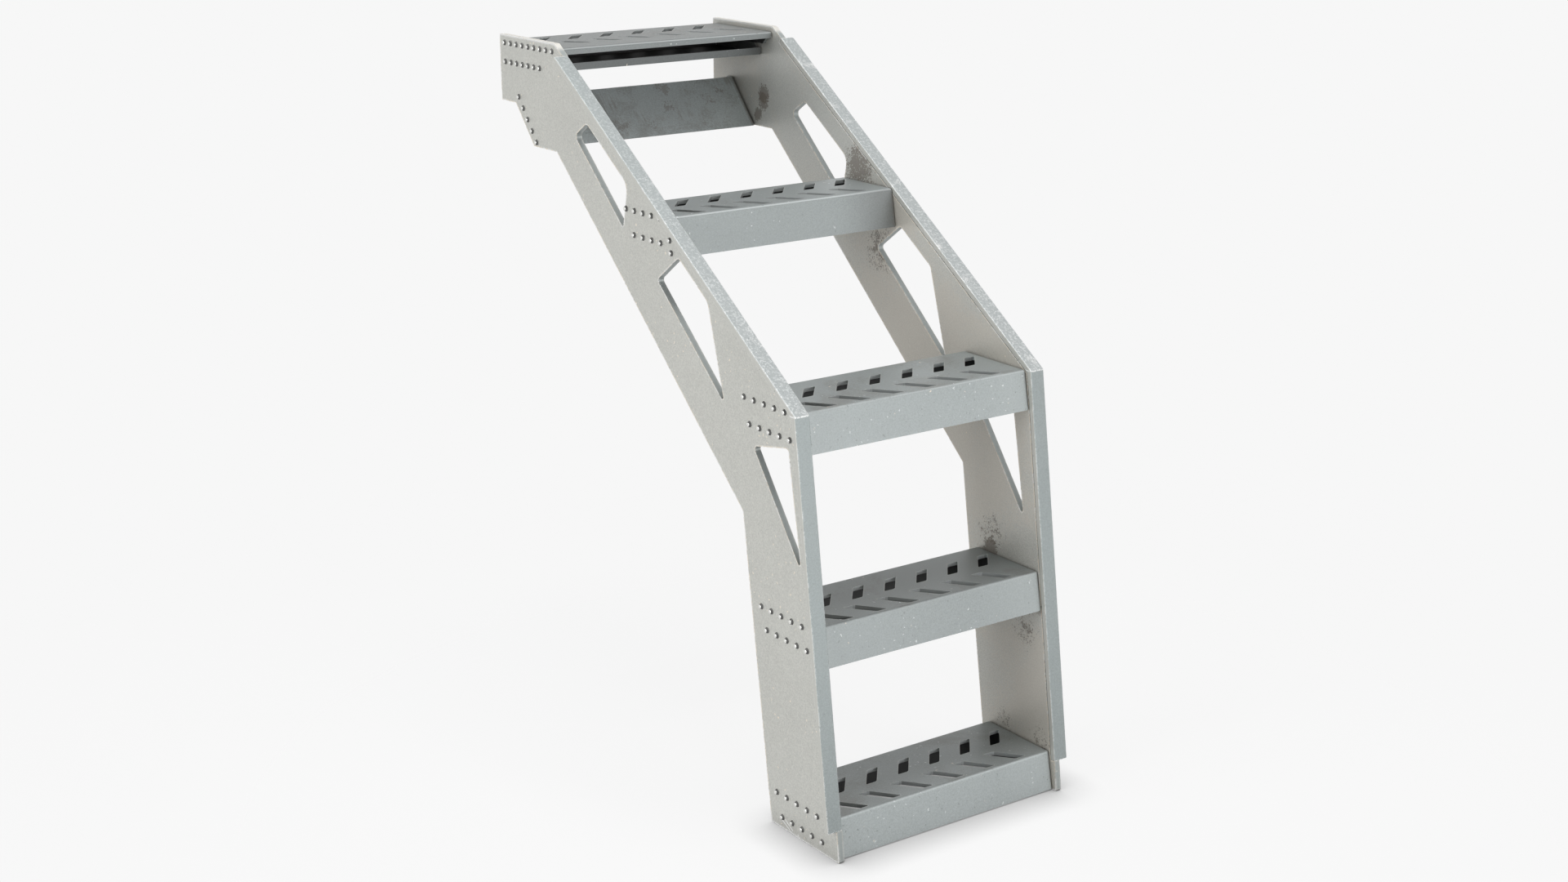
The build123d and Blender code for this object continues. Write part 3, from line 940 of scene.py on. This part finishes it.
def kick_spots(face):
    """Places of the rivets up one end of the kick panel."""
    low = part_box("kick_panel")[0]
    foot = Vector((0, *KICK_ROW_FOOT)) * MM
    run = Vector((0, *KICK_ROW_HEAD)) * MM - foot
    start = Vector((face, low.y, low.z)) + foot
    return [start + run * (index / (KICK_ROW_COUNT - 1)) for index in range(KICK_ROW_COUNT)]


def fasten():
    """All rivets, in one piece for each end of each plate."""
    pattern = model_rivet()
    for side, sign in SIDES.items():
        low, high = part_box("web_" + side)
        face = high.x if sign > 0 else low.x
        ends = {"step_" + number: step_spots(number, face) for number in STEPS}
        ends["deck"] = deck_spots(face)
        ends["tray"] = tray_spots(face)
        ends["kick_panel"] = kick_spots(face)
        for name, spots in ends.items():
            place_rivets("rivets_" + name + "_" + side, pattern, spots, sign)
    bpy.data.objects.remove(pattern)


def seen_directly(tree):
    """1 for the camera's rays and for those that mirror or pass through, and 0 for the rest."""
    ray = add_node(tree, "ShaderNodeLightPath")
    seen = calculate(tree, "MAXIMUM", ray.outputs["Is Camera Ray"], ray.outputs["Is Glossy Ray"])
    return calculate(tree, "MAXIMUM", seen, ray.outputs["Is Transmission Ray"])


def mix_floor_paper():
    """Pale paper: a little lit by the lamps, darker where the feet stand, and clear towards its rim."""
    finish = bpy.data.materials.new("floor_paper")
    finish.use_nodes = True
    tree = finish.node_tree
    tree.nodes.remove(tree.nodes["Principled BSDF"])
    leave = tree.nodes["Material Output"]
    matte = add_node(tree, "ShaderNodeBsdfDiffuse")
    matte.inputs["Color"].default_value = (FLOOR_ALBEDO, FLOOR_ALBEDO, FLOOR_ALBEDO, 1)
    nearby = add_node(tree, "ShaderNodeAmbientOcclusion", samples=16)
    nearby.inputs["Distance"].default_value = FLOOR_CONTACT_REACH
    lean = add_node(tree, "ShaderNodeVectorMath", operation="NORMALIZE")
    feed(tree, lean.inputs[0], FLOOR_CONTACT_LEAN)
    feed(tree, nearby.inputs["Normal"], lean.outputs[0])
    open_sky = calculate(tree, "POWER", nearby.outputs["AO"], FLOOR_CONTACT_DEPTH)
    glow = add_node(tree, "ShaderNodeEmission")
    brightness = calculate(tree, "MULTIPLY", open_sky, BACKGROUND - FLOOR_LIT_SHARE)
    feed(tree, glow.inputs["Strength"], calculate(tree, "MULTIPLY", seen_directly(tree), brightness))
    lit = add_node(tree, "ShaderNodeAddShader")
    feed(tree, lit.inputs[0], matte.outputs[0])
    feed(tree, lit.inputs[1], glow.outputs[0])
    clear = add_node(tree, "ShaderNodeBsdfTransparent")
    reach = add_node(tree, "ShaderNodeVectorMath", operation="LENGTH")
    feed(tree, reach.inputs[0], object_place(tree))
    fade_start = FLOOR_RADIUS * FLOOR_FADE_START
    fade = remap(tree, reach.outputs["Value"], fade_start, FLOOR_RADIUS * FLOOR_FADE_END)
    surface = add_node(tree, "ShaderNodeMixShader")
    feed(tree, surface.inputs[0], fade)
    feed(tree, surface.inputs[1], lit.outputs[0])
    feed(tree, surface.inputs[2], clear.outputs[0])
    feed(tree, leave.inputs["Surface"], surface.outputs[0])
    return finish


def build_floor():
    """Pale floor that keeps the shadow and fades into the background."""
    deselect_all()
    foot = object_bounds()[0][2]
    bpy.ops.mesh.primitive_circle_add(
        vertices=FLOOR_SIDES,
        radius=FLOOR_RADIUS,
        fill_type="NGON",
        location=(*FLOOR_CENTRE, foot - FLOOR_GAP),
    )
    floor = bpy.context.object
    floor.name = "floor"
    floor.data.materials.append(mix_floor_paper())


def build_world():
    """White for the camera and for reflections, a dim even light for the rest."""
    world = bpy.data.worlds.new("studio")
    bpy.context.scene.world = world
    world.use_nodes = True
    tree = world.node_tree
    tree.nodes.clear()
    leave = add_node(tree, "ShaderNodeOutputWorld")
    dim = add_node(tree, "ShaderNodeBackground")
    dim.inputs["Color"].default_value = AMBIENT + (1,)
    dim.inputs["Strength"].default_value = AMBIENT_STRENGTH
    white = add_node(tree, "ShaderNodeBackground")
    white.inputs["Color"].default_value = (1, 1, 1, 1)
    white.inputs["Strength"].default_value = BACKGROUND
    both = add_node(tree, "ShaderNodeMixShader")
    feed(tree, both.inputs[0], seen_directly(tree))
    feed(tree, both.inputs[1], dim.outputs[0])
    feed(tree, both.inputs[2], white.outputs[0])
    feed(tree, leave.inputs["Surface"], both.outputs[0])


def light_studio():
    """Square soft boxes that face the steps, the strongest ones at the left and above."""
    for name, place, power, colour in LAMPS:
        lamp = bpy.data.lights.new(name, "AREA")
        lamp.shape = "SQUARE"
        lamp.size = LAMP_SIZE
        lamp.energy = power
        lamp.color = colour
        holder = bpy.data.objects.new(name, lamp)
        holder.location = place
        facing = Vector(LAMP_TARGET) - Vector(place)
        holder.rotation_euler = facing.to_track_quat("-Z", "Y").to_euler()
        bpy.context.scene.collection.objects.link(holder)


def place_camera():
    """Camera at the photograph's viewing angle."""
    lens = bpy.data.cameras.new("camera")
    lens.sensor_width = CAMERA_SENSOR
    lens.lens = CAMERA_LENS
    lens.clip_end = CAMERA_REACH
    camera = bpy.data.objects.new("camera", lens)
    camera.location = CAMERA_PLACE
    camera.rotation_euler = [math.radians(angle) for angle in CAMERA_TURN]
    bpy.context.scene.collection.objects.link(camera)
    bpy.context.scene.camera = camera


deselect_all()
dress_nodes()
fasten()
build_floor()
build_world()
light_studio()
place_camera()
bpy.context.scene.view_settings.view_transform = "Standard"
